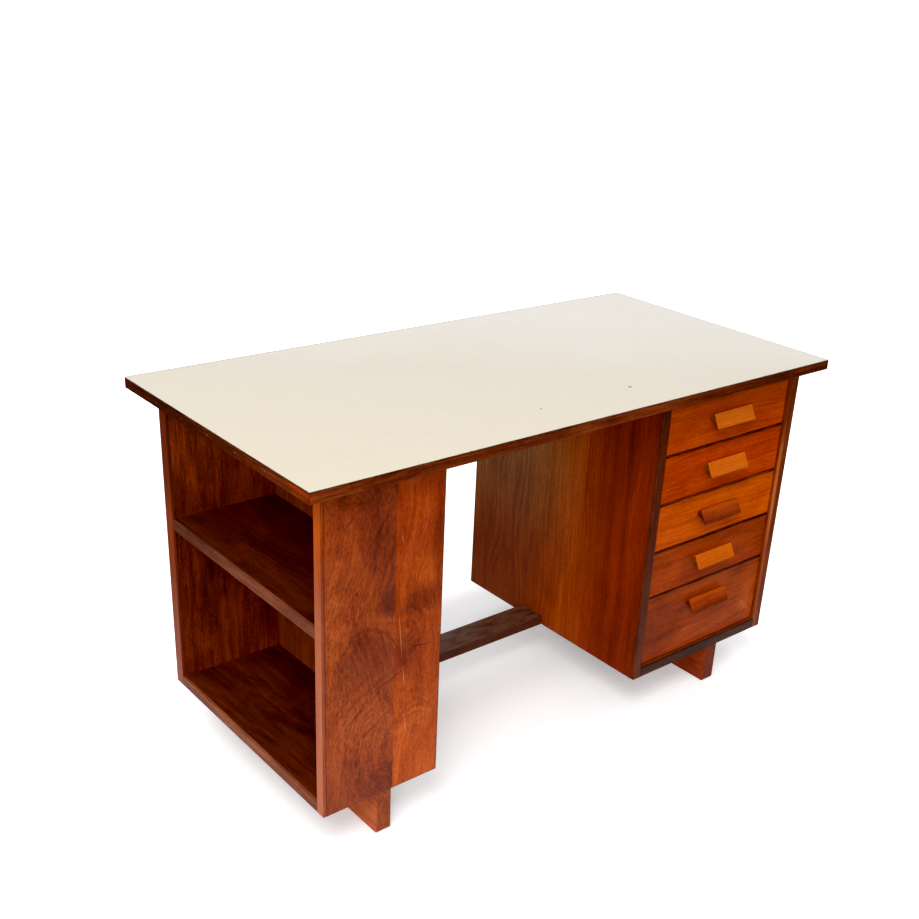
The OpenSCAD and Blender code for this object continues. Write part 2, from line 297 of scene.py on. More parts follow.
class Board:
    """One board, cut from its own place in the log. Its coordinates start from its middle and are
    turned so that the grain runs along Z."""

    def __init__(self, graph, timber, low, high, grain, seed):
        self.graph = graph
        self.timber = timber
        self.grain = grain
        self.shift = (0.37 * seed, 0.53 * seed, 0.71 * seed)
        self.luck = random.Random(seed)
        centre = [(a + b) / 2 for a, b in zip(low, high)]
        local = graph.split(graph.scaled(graph.place(), (1, 1, 1), tuple(-c for c in centre)))
        self.where = graph.join(*(local[name] for name in GRAIN_ORDER[grain]))
        if timber.swirl:
            eddy = graph.swing(self.noise(1.0, 5.0, 0.0), timber.swirl)
            self.where = graph.vector("ADD", self.where, graph.join(eddy, 0.0, 0.0))

    def noise(self, along, *settings):
        """Noise that is drawn out along the grain where the scale along it is below 1. The settings
        are its scale, detail, roughness and distortion."""
        graph = self.graph
        return graph.noise(graph.scaled(self.where, (1, 1, along), self.shift), *settings)

    def radius(self):
        """Distance from a leaning pith, pushed about by slow noise."""
        graph = self.graph
        luck = self.luck
        pith = (luck.uniform(-0.08, 0.08), luck.choice((-1, 1)) * luck.uniform(0.05, 0.16))
        tilt = (luck.uniform(-0.06, 0.06), luck.uniform(-0.12, 0.12))
        axes = graph.split(self.where)
        squares = []
        for axis, middle, lean in zip("XY", pith, tilt):
            offset = graph.math("SUBTRACT", axes[axis], middle)
            offset = graph.math("SUBTRACT", offset, graph.math("MULTIPLY", axes["Z"], lean))
            squares.append(graph.math("MULTIPLY", offset, offset))
        sway = graph.swing(self.noise(0.3, 9.0, 3.0), 0.06)
        return graph.math("ADD", graph.math("SQRT", graph.math("ADD", *squares)), sway)

    def patterns(self):
        """The patterns of the figure, each from 0 to 1."""
        graph = self.graph
        radius = self.radius()
        drawn_out = 0.032 / self.timber.stretch
        return {
            "rings": graph.bands(graph.math("DIVIDE", radius, self.timber.ring)),
            "flames": graph.bands(graph.math("DIVIDE", radius, FLAME_SPACING), 1.0),
            "blotches": self.noise(0.55, 11.0, 4.0, 0.6, 0.7),
            "fibres": self.noise(drawn_out, 620.0, 3.0, 0.6),
            "strands": self.noise(drawn_out, 260.0, 3.0, 0.6, 0.3),
            "streaks": self.noise(drawn_out, 95.0, 3.0, 0.55),
            "mottle": self.noise(0.4, 400.0, 2.0, 0.6),
        }

    def figure(self, patterns):
        """The colour that the patterns give."""
        timber = self.timber
        shares = {"rings": timber.figure, "flames": timber.flame, "blotches": timber.blotch * 2.2,
                  "fibres": timber.fibre * 1.5, "strands": timber.fibre * 2.8,
                  "streaks": timber.fibre * 1.6, "mottle": timber.mottle}
        level = BASE_LEVEL
        for name, share in shares.items():
            push = self.graph.swing(patterns[name], share * CONTRAST)
            level = self.graph.math("ADD", level, push)
        stops = [(0.12, timber.dark), (0.5, timber.mid), (0.88, timber.light)]
        return self.graph.ramp(level, stops)

    def pores(self):
        """Short dark dashes, 1 in an open pore."""
        short = self.graph.step(self.noise(0.045, 1150.0, 2.0, 0.5), 0.60, 0.70)
        long = self.graph.step(self.noise(0.05, 480.0, 2.0, 0.5), 0.64, 0.74, 0.0, 0.7)
        return self.graph.math("MAXIMUM", short, long)

    def stain_ends(self, colour):
        """End grain drinks more stain and shows specks in place of fibres."""
        graph = self.graph
        ends = self.timber.ends
        facing = graph.math("ABSOLUTE", graph.facing(self.grain))
        specks = graph.step(graph.noise(graph.place(), 1300.0, 3.0, 0.6), 0.35, 0.7, ends - 0.12,
                            ends + 0.12)
        return graph.mix(graph.step(facing, 0.72, 0.95), colour, graph.join(specks, specks, specks),
                         "MULTIPLY")

    def rub_edges(self, colour, from_edge):
        """A dark line of stain along each edge, then rubbed spots. Returns the colour and how far
        the lacquer is rubbed off."""
        graph = self.graph
        timber = self.timber
        line = graph.step(from_edge, timber.line_width, 0.5 * timber.line_width, 0.0, timber.line)
        colour = graph.mix(line, colour, EDGE_STAIN, "MULTIPLY")
        edge = graph.step(from_edge, timber.reach, RUBBED_DEPTH)
        patchy = graph.step(self.noise(0.4, 46.0, 4.0, 0.7), 0.40, 0.66)
        rubbed = graph.math("MULTIPLY", graph.math("MULTIPLY", edge, patchy), timber.wear)
        return graph.mix(rubbed, colour, timber.worn_and_highlit), rubbed


def edge_distance(graph, low, high):
    """Distance of a surface point of a box from the nearest edge of that box."""
    axes = graph.split(graph.place())
    near = []
    for axis, lowest, highest in zip("XYZ", low, high):
        from_low = graph.math("SUBTRACT", axes[axis], lowest)
        from_high = graph.math("SUBTRACT", highest, axes[axis])
        near.append(graph.math("MINIMUM", from_low, from_high))
    smaller = graph.math("MINIMUM", near[0], near[1])
    larger = graph.math("MAXIMUM", near[0], near[1])
    return graph.math("MAXIMUM", smaller, graph.math("MINIMUM", larger, near[2]))


def wood(name, timber, low, high, grain, seed, paint=None, rim_box=None):
    """The material of one board. The rim box is the box whose edges are stained and rubbed, where
    that isn't the board's own."""
    graph = Graph(name)
    board = Board(graph, timber, low, high, grain, seed)
    patterns = board.patterns()
    pore = board.pores()
    in_pores = tuple(0.25 * level for level in timber.dark[:3]) + (1.0,)
    colour = cover(graph, board.figure(patterns), pore, timber.pores, in_pores)
    if paint:
        colour = paint(graph, colour, in_mm(low), in_mm(high))
    colour = board.stain_ends(colour)
    from_edge = edge_distance(graph, *(rim_box or (low, high)))
    colour, rubbed = board.rub_edges(colour, from_edge)

    # Handling marks and rubbed spots are duller; pores are sunk and fibres stand up
    smear = graph.step(board.noise(0.5, 24.0, 5.0, 0.65), 0.3, 0.75, timber.rough - 0.07,
                       timber.rough + 0.12)
    rough = graph.math("ADD", smear, graph.math("MULTIPLY", rubbed, 0.18))
    depth = graph.math("ADD", graph.math("MULTIPLY", patterns["fibres"], 0.5),
                       graph.math("MULTIPLY", pore, -0.8))
    depth = graph.math("ADD", depth, graph.math("MULTIPLY", patterns["blotches"], 1.5))
    return graph.surface(Base_Color=colour, Roughness=rough,
                         Normal=graph.bump(depth, 0.25, 0.25 * MM),
                         Specular_IOR_Level=timber.shine, Coat_Weight=timber.coat,
                         Coat_Roughness=LACQUER_ROUGHNESS, Coat_IOR=LACQUER_IOR)


# ---- Figure that belongs to one board, in millimetres ----

def front_lines(graph, colour):
    """Thin dark lines of figure, some of which run across both boards of the front."""
    for x, z, length, turn in ((-407, 386, 40, -8.0), (-482, 333, 60, 19.0),
                               (-545, 286, 50, 34.0), (-520, 242, 40, 28.0),
                               (-500, 640, 50, 55.0), (-560, 668, 30, 48.0)):
        line = oval(graph, x, z, length, 3.4, turn, ragged=0.4)
        colour = tint(graph, colour, line, 0.85, DARKER)
    return colour


def paint_wide_board(graph, colour, low, high):
    """A leaning dark column above a dark lobe with a crisp brow, arcs below, and a painted mauve
    sheen at the foot.
    """
    lobe_oval = (-521, 350, 70, 110)
    lobe = oval(graph, *lobe_oval, ragged=0.26, soft=0.2)
    brow = outline(graph, *lobe_oval, ragged=0.26)
    column = oval(graph, -487, 590, 62, 190, turn=12.0)
    column_foot = oval(graph, -476, 498, 36, 50)
    head = oval(graph, -530, 690, 85, 110)
    lower = oval(graph, -530, 270, 110, 170)
    for mask, strength, shade in (
            # Painted shade: redder at the top, as under the overhang of the top
            (rise(graph, "Z", 540, 680), 0.9, REDDER),
            (head, 0.25, DARKER),
            (column, 0.62, DARKER),
            (column_foot, 0.7, DARKER),
            (both(graph, lobe, rise(graph, "Z", 260, 430)), 0.72, DARKER),
            (both(graph, brow, rise(graph, "Z", 360, 420)), 0.75, DARKER),
            (both(graph, arcs(graph, -450, 180, 9), lower), 0.55, DARKER),
            (both(graph, arcs(graph, -760, 640, 12), column), 0.45, DARKER),
            # Painted reflection: a mauve sheen at the foot of the board
            (oval(graph, -500, 110, 60, 60), 0.5, FOOT_SHEEN_MAUVE),
            (rise(graph, "Z", 240, 100), 0.65, FOOT_SHEEN_MAUVE),
            (oval(graph, -592, 520, 30, 180), 0.6, LIGHTER),
            (oval(graph, -482, 462, 20, 10, turn=-20.0, ragged=0.3), 0.8, LIGHTER)):
        colour = tint(graph, colour, mask, strength, shade)
    dent = oval(graph, -546, 531, 1.6, 9, ragged=0.2)
    return front_lines(graph, cover(graph, colour, dent, 0.8, DENT))


def paint_narrow_board(graph, colour, low, high):
    """Bright at the top, a dark band in the middle, and an arch of paler wood below."""
    swirl = both(graph, arcs(graph, -440, 425, 8), oval(graph, -420, 430, 60, 90))
    arch_oval = (-416, 200, 46, 74)
    arch = graph.math("MAXIMUM", oval(graph, *arch_oval, ragged=0.16, soft=0.2),
                      rise(graph, "Z", 215, 185))
    arch_lines = graph.math("MAXIMUM", outline(graph, *arch_oval, ragged=0.16),
                            arcs(graph, -420, 130, 12, wander=16))
    for mask, strength, shade in (
            # Painted shade: redder at the top, as under the overhang of the top
            (rise(graph, "Z", 540, 700), 0.9, REDDER),
            (oval(graph, -408, 655, 40, 80), 0.5, LIGHTER),
            (oval(graph, -376, 600, 26, 90), 0.6, DARKER),
            (oval(graph, -402, 545, 34, 36), 0.6, LIGHTER),
            (oval(graph, -400, 480, 80, 30, turn=10.0), 0.7, DARKER),
            (swirl, 0.55, DARKER),
            (oval(graph, -450, 380, 60, 62, turn=-30.0), 0.8, DARKER),
            (rise(graph, "Z", 345, 285), 0.7, LIGHTER),
            (arch, 0.3, LIGHTER),
            (rise(graph, "X", -395, -365), 0.3, DARKER),
            (both(graph, arch_lines, oval(graph, -418, 260, 70, 80, ragged=0.3)), 0.5, DARKER)):
        colour = tint(graph, colour, mask, strength, shade)
    for x, z, length in ((-453.5, 425, 62), (-452.5, 612, 14), (-444, 330, 30), (-438, 225, 34)):
        hair = oval(graph, x, z, 0.9, length, turn=5.0, ragged=0.26)
        colour = cover(graph, colour, hair, 0.7, SCRATCH)
    return front_lines(graph, colour)


def paint_upright_lippings(graph, colour, low, high):
    """Painted light at the top of the front lipping and a painted sheen below, with painted shade on
    its front face. The one at the back is cut from much darker wood."""
    # Painted sheen: a chalky reflection over the lower part
    colour = cover(graph, colour, rise(graph, "Z", 660, 480), 0.45, LOWER_SHEEN_CHALKY)
    # Painted light: bright orange at the top, where the top's overhang shades it
    colour = cover(graph, colour, rise(graph, "Z", 560, 700), 0.8, TOP_LIGHT_ORANGE)
    # Painted shade: the faces that look towards the user are darker
    fore = graph.step(graph.facing("Y"), -0.35, -0.8)
    colour = tint(graph, colour, fore, 1.0, DARKER)
    rear = rise(graph, "Y", -50, 50)
    colour = tint(graph, colour, rear, 1.0, REAR_WOOD)
    return tint(graph, colour, both(graph, rear, rise(graph, "Z", 560, 480)), 1.0,
                REAR_WOOD_LOW)


def paint_shelf_lippings(graph, colour, low, high):
    """The shelf's lipping is darker towards the back and along its top arris."""
    shelf = rise(graph, "Z", 300, 400)
    colour = tint(graph, colour, both(graph, shelf, rise(graph, "Y", -50, 200)), 0.9, HALF)
    arris = rise(graph, "Z", high[2] - 6, high[2] - 1)
    return tint(graph, colour, both(graph, arris, rise(graph, "Y", -140, -20)), 0.8, HALF)


def paint_knee_panel(graph, colour, low, high):
    """A painted khaki sheen at the back, painted light in orange at the front, and painted shade in
    dark red near the user.
    """
    strips = graph.noise(graph.scaled(graph.place(), (1, 1, 0.06)), 34.0, 3.0)
    where = graph.math("ADD", graph.split(graph.place())["Y"], graph.swing(strips, 100 * MM))
    fore = graph.step(where, 160 * MM, -120 * MM)
    aft = graph.step(where, -120 * MM, 160 * MM)
    high_up = rise(graph, "Z", 200, 600)
    # Painted reflection: a khaki sheen at the back and high up
    colour = recolour(graph, colour, both(graph, aft, high_up), 0.7, KNEE.mid, SHEEN_KHAKI)
    # Painted light: orange at the front, against the shade under the top
    colour = recolour(graph, colour, fore, 0.6, KNEE.mid, LIT_ORANGE_RED)
    # Painted shade: dark red nearest the user
    near_user = graph.step(where, -40 * MM, -180 * MM)
    colour = tint(graph, colour, near_user, 0.9, SHADE_DEEP_RED)
    # Painted shade: darker low at the front
    return tint(graph, colour, both(graph, fore, rise(graph, "Z", 420, 200)), 0.25, HALF)


def paint_back_panel(graph, colour, low, high):
    """Lighter at the top of the inner face."""
    inside = both(graph, rise(graph, "Y", 270, 260), rise(graph, "Z", 480, 680))
    return recolour(graph, colour, inside, 0.7, INNER.mid, UPPER_INSIDE_TONE)


def paint_edging(graph, colour, low, high):
    """Dirt under the laminate's edge, a darker run away from the user's left corner, and a painted
    highlight at that corner."""
    dirt = rise(graph, "Z", high[2] - 3.5, high[2] - 1.5)
    colour = tint(graph, colour, dirt, 0.6, DIRT_AND_SHADE_BLACK)
    colour = tint(graph, colour, rise(graph, "X", 0, 500), 0.7, HALF)
    colour = tint(graph, colour, rise(graph, "Y", -320, 200), 1.0, HALF)
    # Painted highlight: warm and bright at the user's left corner
    corner = patch(graph, (low[0], -300, high[2]), (20, 60, 40))
    return tint(graph, colour, corner, 0.8, CORNER_HIGHLIGHT)


def paint_pedestal_lippings(graph, colour, low, high):
    """Darker on the left. The right one has a painted highlight along its inner side."""
    colour = tint(graph, colour, rise(graph, "X", 500, 300), 0.8, HALF)
    # Painted highlight: pale along the inner side of the right lipping, lower down and most in the
    # middle
    inner = both(graph, rise(graph, "X", high[0] - 16, high[0] - 20),
                 rise(graph, "X", 300, 500))
    worn_and_highlit = both(graph, inner, rise(graph, "Z", 660, 540))
    colour = cover(graph, colour, worn_and_highlit, 0.45, INNER_HIGHLIGHT_STRIP)
    middle = oval(graph, high[0] - 20, 440, 50, 180)
    return cover(graph, colour, both(graph, worn_and_highlit, middle), 0.7, INNER_HIGHLIGHT_MIDDLE)


def paint_footrest(graph, colour, low, high):
    """Scuffed to a greyer brown on top."""
    scuffs = graph.step(graph.noise(graph.scaled(graph.place(), (0.4, 1, 1)), 60.0, 4.0), 0.35, 0.6)
    worn_and_highlit = both(graph, graph.step(graph.facing("Z"), 0.5, 0.9), scuffs)
    return cover(graph, colour, worn_and_highlit, 0.8, SCUFFED)


def paint_pull(graph, colour, low, high):
    """Painted shade on the faces of the finger hollow that look down, and darker along the lower lip.
    """
    # Painted shade: the downward faces of the finger hollow are near black
    under = graph.step(graph.facing("Z"), -0.1, -0.6)
    colour = tint(graph, colour, under, 0.9, DIRT_AND_SHADE_BLACK)
    return tint(graph, colour, rise(graph, "Z", low[2] + 4, low[2] + 0.5), 0.5, HALF)


def paint_dark_pull(graph, colour, low, high):
    """A painted highlight in a band along the top, and a dark red below."""
    colour = tint(graph, colour, rise(graph, "Z", high[2] - 11, low[2] + 2), 1.0, HALF)
    # Painted highlight: a lighter orange band along the top
    band = rise(graph, "Z", high[2] - 12, high[2] - 3)
    colour = cover(graph, colour, band, 0.5, PULL_TOP_HIGHLIGHT)
    return paint_pull(graph, colour, low, high)


def paint_drawer_front(graph, colour, low, high):
    """Painted shade along the top, redder along the bottom, and a painted shadow round the pull."""
    # Painted shade: darker along the top of each front
    top = rise(graph, "Z", high[2] - 18, high[2] - 3)
    colour = tint(graph, colour, top, 0.3, DARKER)
    colour = tint(graph, colour, rise(graph, "Z", low[2] + 34, low[2] + 6), 0.6, REDDER)
    # Painted shadow: a dark halo round the pull
    grime_and_shadow = oval(graph, (low[0] + high[0]) / 2, high[2] - 53, 88, 34, ragged=0.3)
    return tint(graph, colour, grime_and_shadow, 0.5, DARKER)


def paint_deep_front(graph, colour, low, high):
    """Pale curved streaks at the lower right, and dark at the left end."""
    colour = cover(graph, colour, oval(graph, 555, 165, 42, 8, turn=-40.0), 0.3, STREAK)
    colour = cover(graph, colour, oval(graph, 560, 205, 30, 60), 0.35, GLOW)
    curves = both(graph, arcs(graph, 470, 240, 7, wander=20), oval(graph, 560, 170, 50, 60))
    colour = tint(graph, colour, curves, 0.6, LIGHTER)
    colour = tint(graph, colour, oval(graph, 260, 200, 120, 130), 0.6, DARKER)
    return paint_drawer_front(graph, colour, low, high)


PAINT = {
    "bookcase_front_wide_board": paint_wide_board,
    "bookcase_front_narrow_board": paint_narrow_board,
    "bookcase_upright_lippings": paint_upright_lippings,
    "bookcase_shelf_lippings": paint_shelf_lippings,
    "bookcase_back_panel": paint_back_panel,
    "pedestal_left_side": paint_knee_panel,
    "pedestal_side_lippings": paint_pedestal_lippings,
    "footrest": paint_footrest,
}
for side in ("front", "back", "left", "right"):
    PAINT["top_edging_" + side] = paint_edging
for number in "12345":
    PAINT[f"drawer_{number}_front"] = paint_deep_front if number == "5" else paint_drawer_front
    PAINT[f"drawer_{number}_pull"] = paint_dark_pull if number in "35" else paint_pull


# ---- Laminate and steel ----

# Places on the top and radii in millimetres
INK_SPOTS = ((142, -227, 4.0), (-97, -230, 2.8), (52, 118, 1.0))
FRONT_CHIPS = ((-341, 3.4), (-214, 1.6), (118, 2.0), (402, 1.8))
# Turn in radians, and a place in the noise
SCRATCH_SETS = ((0.35, 3.1), (1.2, 8.4), (-0.6, 5.7))


def blot(graph, colour, centre, radius, fade, crumble, strength, shade):
    """A small ragged spot, with its centre, radius and fade in millimetres. The crumble is the
    noise that gnaws at its rim."""
    away = graph.distance(graph.place(), in_metres(centre))
    ragged = graph.math("ADD", away, crumble)
    mask = graph.step(ragged, (radius + fade) * MM, radius * MM, 0.0, strength)
    return graph.mix(mask, colour, shade)


def laminate_face(graph):
    """The cream of the face, yellower towards the user's left, with a weave and a faint cloud.
    Returns the colour, the weave and the cloud."""
    place = graph.place()
    ageing = graph.vector("DOT_PRODUCT", place, (0.42, 0.55, 0.0), "Value")
    drift = graph.math("ADD", ageing, graph.math("MULTIPLY", graph.noise(place, 2.4, 3.0), 0.25))
    face = graph.ramp(graph.step(drift, -0.35, 0.55),
                      [(0.0, tone(218, 207, 187)), (0.5, tone(216, 208, 195)),
                       (1.0, tone(227, 224, 217))])
    weave = graph.math("ADD", graph.noise(graph.scaled(place, (1, 0.3, 1)), 900.0, 2.0),
                       graph.noise(graph.scaled(place, (0.3, 1, 1)), 900.0, 2.0))
    face = graph.mix(graph.step(weave, 0.85, 1.2, 0.0, 0.10), face, tone(196, 178, 150))
    cloud = graph.noise(place, 15.0, 5.0, 0.66, 0.2)
    face = graph.mix(graph.step(cloud, 0.40, 0.72, 0.0, 0.12), face, tone(208, 196, 178))
    return face, weave, cloud


def laminate_scratches(graph):
    """Hair-fine scratches in three directions, each in worn areas of its own."""
    place = graph.place()
    scratches = 0.0
    for turn, seed in SCRATCH_SETS:
        turned = graph.turned(place, "Z", turn)
        lines = graph.noise(graph.scaled(turned, (1, 0.012, 1), (seed, seed, 0)), 420.0)
        area = graph.noise(graph.scaled(place, (1, 1, 1), (seed, 0, 0)), 6.0)
        hairs = both(graph, graph.step(lines, 0.70, 0.76), graph.step(area, 0.5, 0.62))
        scratches = graph.math("ADD", scratches, hairs)
    return scratches


def laminate_core(graph):
    """The pressed paper core, seen on the edges, with chips that show lighter."""
    place = graph.place()
    core = graph.mix(graph.step(graph.noise(place, 120.0, 3.0), 0.45, 0.7), tone(66, 32, 14),
                     tone(102, 56, 28))
    chips = graph.step(graph.noise(place, 85.0, 2.0, 0.8), 0.70, 0.74)
    return cover(graph, core, chips, 0.8, tone(196, 168, 136))


def laminate(name, low, high):
    """Cream decorative laminate with its dark core showing on the edges, and a thin grey line along
    the arrises at the back and the right."""
    graph = Graph(name)
    place = graph.place()
    face, weave, cloud = laminate_face(graph)
    front = in_mm(low)[1]
    right, rear, top = in_mm(high)
    rough_rim = graph.math("MULTIPLY", graph.noise(place, 700.0), MM)
    for x, y, radius in INK_SPOTS:
        face = blot(graph, face, (x, y, top), radius, 0.6, rough_rim, 0.85, INK)
    scratches = laminate_scratches(graph)
    face = cover(graph, face, scratches, 0.10, tone(250, 244, 232))
    crumbled_rim = graph.math("MULTIPLY", graph.noise(place, 400.0), 2.0 * MM)
    for x, radius in FRONT_CHIPS:
        face = blot(graph, face, (x, front, top), radius, 1.0, crumbled_rim, 0.7,
                    tone(168, 130, 104))
    grime_and_shadow = both(graph, graph.step(edge_distance(graph, low, high), 5.0 * MM, 0.6 * MM),
                 graph.step(graph.noise(place, 33.0, 4.0), 0.42, 0.68))
    face = cover(graph, face, grime_and_shadow, 0.35, tone(150, 118, 84))
    far = graph.math("MAXIMUM", rise(graph, "Y", rear - 4.5, rear - 3),
                     rise(graph, "X", right - 3.5, right - 2))
    face = tint(graph, face, far, 1.0, FAR_ARRIS)

    upright = graph.add("NewGeometry", {}).outputs["Normal"]
    flat = graph.step(graph.split(upright)["Z"], 0.75, 0.92)
    rough = graph.math("ADD", graph.step(cloud, 0.3, 0.7, 0.34, 0.46),
                       graph.math("MULTIPLY", scratches, 0.15))
    return graph.surface(Base_Color=graph.mix(flat, laminate_core(graph), face), Roughness=rough,
                         Normal=graph.bump(weave, 0.12, 0.08 * MM), Specular_IOR_Level=0.45)


def steel(name):
    """Dull steel with specks of tarnish. The pins away from the left end are browner."""
    graph = Graph(name)
    place = graph.place()
    tarnish = graph.step(graph.noise(place, 1600.0, 4.0, 0.7), 0.5, 0.7)
    colour = graph.mix(tarnish, tone(182, 160, 140), tone(92, 70, 54))
    colour = cover(graph, colour, rise(graph, "X", -655, -640), 0.75, BROWNED_PIN)
    rough = graph.step(tarnish, 0.0, 1.0, 0.32, 0.62)
    return graph.surface(Base_Color=colour, Roughness=rough, Metallic=0.5,
                         Normal=graph.bump(graph.noise(place, 3000.0), 0.2, 0.05 * MM))


# ---- What each piece is made of ----

PANEL = Timber((82, 28, 6), (126, 48, 12), (162, 70, 22))
FIGURED = Timber((106, 40, 18), (158, 66, 26), (184, 88, 38), flame=0.26, blotch=0.3, fibre=0.12,
                 mottle=0.62, stretch=0.3, swirl=0.14, pores=0.7, line=0.6)
ORANGE = Timber((120, 42, 12), (165, 63, 14), (192, 86, 28), flame=0.26, blotch=0.26,
                fibre=0.12, mottle=0.52, stretch=0.35, swirl=0.08, pores=0.6, line=0.9,
                line_width=2.2 * MM, wear=0.2)
KNEE = Timber((86, 32, 8), (128, 50, 14), (160, 70, 22), blotch=0.14, fibre=0.13, shine=0.08,
              coat=0.0)
INNER = Timber((58, 14, 3), (92, 28, 6), (128, 46, 12), blotch=0.34, fibre=0.2, mottle=0.5,
               stretch=0.6)
# Painted shade: a darker copy of the inside wood for the bookcase's bottom and shelf
INNER_FLOOR_SHADED = Timber((42, 11, 2), (71, 22, 4), (100, 36, 9), blotch=0.34, mottle=0.5)
EDGING = Timber((58, 19, 8), (106, 41, 14), (146, 63, 25), ring=3 * MM, figure=0.4, wear=0.5,
                worn_and_highlit=(158, 84, 38), shine=0.12, coat=0.0)
UPRIGHT_LIP = Timber((152, 60, 6), (196, 84, 12), (218, 106, 26), figure=0.16, blotch=0.2,
                     shine=0.4, coat=0.1)
SHELF_LIP = Timber((94, 44, 22), (138, 68, 40), (168, 98, 64), figure=0.25, rough=0.46)
DARK_LIP = Timber((68, 22, 6), (110, 44, 14), (146, 68, 28), figure=0.25)
BOTTOM_LIP = Timber((34, 12, 6), (58, 24, 14), (92, 46, 28), figure=0.25, wear=0.15)
DRAWERS = {
    number: Timber(*shades, ring=4 * MM, fibre=0.12, shine=0.12, coat=0.03, wear=0.3, line=1.0,
                   line_width=3.3 * MM)
    for number, shades in {
        "1": ((142, 44, 3), (186, 65, 4), (212, 92, 12)),
        "2": ((140, 40, 3), (188, 62, 4), (216, 90, 12)),
        "3": ((160, 56, 3), (208, 84, 4), (226, 108, 14)),
        "4": ((112, 36, 3), (156, 56, 5), (190, 78, 10)),
        "5": ((112, 36, 4), (155, 58, 8), (188, 82, 18)),
    }.items()
}
LIGHT_PULL = Timber((178, 76, 4), (202, 94, 6), (218, 112, 14), figure=0.2, blotch=0.16,
                    fibre=0.16, pores=0.22, shine=0.1, coat=0.02, ends=0.4)
DARK_PULL = Timber((124, 38, 3), (158, 55, 3), (184, 76, 8), figure=0.24, blotch=0.24,
                   fibre=0.16, shine=0.1, coat=0.02, ends=0.4)
# Painted light and shade: the two feet are one wood, a lighter lit copy on the left and a darker
# shaded copy on the right
LEFT_FOOT_LIT = Timber((142, 58, 22), (196, 88, 40), (218, 112, 60), figure=0.3, blotch=0.3,
                   ends=0.55)
RIGHT_FOOT_SHADED = Timber((100, 30, 6), (138, 46, 12), (166, 66, 24), figure=0.3, blotch=0.3)
REST = Timber((52, 18, 8), (82, 34, 16), (112, 56, 30), figure=0.3, blotch=0.3, rough=0.5)
BARE = Timber((156, 108, 70), (196, 150, 106), (218, 182, 140), ring=4 * MM, rough=0.6, coat=0.0,
              pores=0.25, wear=0.3, worn_and_highlit=(140, 108, 72), ends=0.75)
PLY = Timber((164, 116, 74), (202, 158, 112), (222, 186, 144), ring=9 * MM, figure=0.6, rough=0.62,
             coat=0.0, pores=0.3, wear=0.3, worn_and_highlit=(140, 108, 72), ends=0.7)
BOARD = Timber((112, 72, 40), (150, 104, 62), (182, 138, 92), ring=8 * MM, figure=0.5, rough=0.65,
               coat=0.0, pores=0.3, wear=0.2, worn_and_highlit=(120, 88, 60))

SINGLE_LOOKS = {
    "top_core": (BOARD, "X", 0.2),
    "bookcase_front_wide_board": (FIGURED, "Z", 0.35),
    "bookcase_front_narrow_board": (ORANGE, "Z", 0.8),
    "bookcase_back_panel": (INNER, "Z", 0.8),
    "bookcase_inner_panel": (PANEL, "Z", 0.5),
    "bookcase_bottom": (INNER_FLOOR_SHADED, "Y", 0.4),
    "bookcase_shelf": (INNER_FLOOR_SHADED, "Y", 0.4),
    "bookcase_upright_lippings": (UPRIGHT_LIP, "Z", 1.0),
    "bookcase_shelf_lippings": (SHELF_LIP, "Y", 0.9),
    "bookcase_top_cleat": (BARE, "Y", 0.6),
    "pedestal_left_side": (KNEE, "Z", 0.4),
    "pedestal_right_side": (PANEL, "Z", 0.4),
    "pedestal_back": (PANEL, "Z", 0.4),
    "pedestal_bottom": (PANEL, "X", 0.4),
    "pedestal_side_lippings": (DARK_LIP, "Z", 1.0),
    "pedestal_bottom_lipping": (BOTTOM_LIP, "X", 0.9),
    "pedestal_top_rails": (BARE, "X", 0.6),
    "drawer_runners": (BARE, "Y", 0.6),
    "drawer_stops": (BARE, "Z", 0.6),
    "left_foot": (LEFT_FOOT_LIT, "Y", 2.2),
    "right_foot": (RIGHT_FOOT_SHADED, "Y", 2.2),
    "footrest": (REST, "X", 1.1),
    "joint_dowels": (BARE, "Z", 0.3),
}
EDGING_BEVEL = 1.3
LAMINATE_BEVEL = 0.3
METAL_NODES = ("edging_pins", "top_screws")
FRONT_BOARDS = ("bookcase_front_wide_board", "bookcase_front_narrow_board")
WHOLE_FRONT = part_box(FRONT_BOARDS[0])[0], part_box(FRONT_BOARDS[1])[1]
WELD_DISTANCE = 0.005 * MM
BEVEL_SEGMENTS = 3
BEVEL_ANGLE = math.radians(35)


def looks_of(name):
    """The timber, grain direction and bevel in millimetres of a node."""
    if name in SINGLE_LOOKS:
        return SINGLE_LOOKS[name]
    if name.startswith("top_edging"):
        return EDGING, "X" if name.endswith(("front", "back")) else "Y", EDGING_BEVEL
    number, piece = name[len("drawer_"):].split("_", 1)
    return {
        "front": (DRAWERS[number], "X", 0.9),
        "pull": (DARK_PULL if number in "35" else LIGHT_PULL, "X", 0.9),
        "bottom": (PLY, "Y", 0.3),
        "back": (BARE, "X", 0.5),
        "left_side": (BARE, "Y", 0.5),
        "right_side": (BARE, "Y", 0.5),
    }[piece]


def soften(node, width):
    """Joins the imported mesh's split edges and rounds its arrises. The width is in millimetres."""
    weld = node.modifiers.new("weld", "WELD")
    weld.merge_threshold = WELD_DISTANCE
    bevel = node.modifiers.new("arris", "BEVEL")
    bevel.width = width * MM
    bevel.segments = BEVEL_SEGMENTS
    bevel.limit_method = "ANGLE"
    bevel.angle_limit = BEVEL_ANGLE
    bevel.harden_normals = False


def dress(node, material):
    node.data.materials.clear()
    node.data.materials.append(material)


